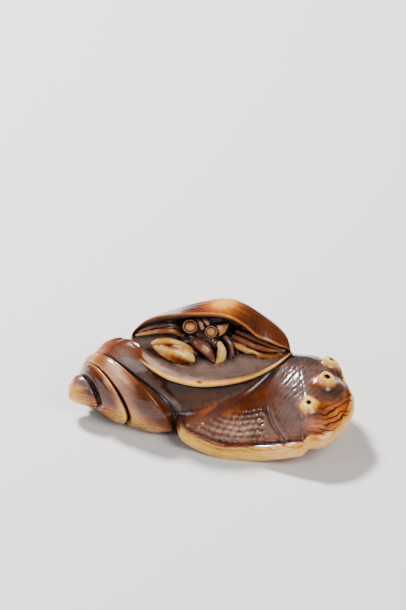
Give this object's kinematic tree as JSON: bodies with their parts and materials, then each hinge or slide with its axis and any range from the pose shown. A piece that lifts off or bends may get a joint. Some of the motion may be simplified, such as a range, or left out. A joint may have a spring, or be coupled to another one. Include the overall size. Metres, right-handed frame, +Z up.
{
  "type": "netsuke",
  "caption": "Small carved belt toggle: a half-open clam with a crab inside, between a spiral shell and an abalone, with a cord tunnel underneath.",
  "frame": {"origin": "middle of the footprint box, on the surface that the netsuke rests on", "axes": "+X along the carving, from the spiral shell's tip towards the abalone; -Y to the front, where the clam opens; +Z up"},
  "size_m": [0.0556, 0.033, 0.0238],
  "materials": {
    "stained_ivory": null
  },
  "bodies": {
    "root": {"shells_with_crab": "stained_ivory"}
  },
  "joints": []
}
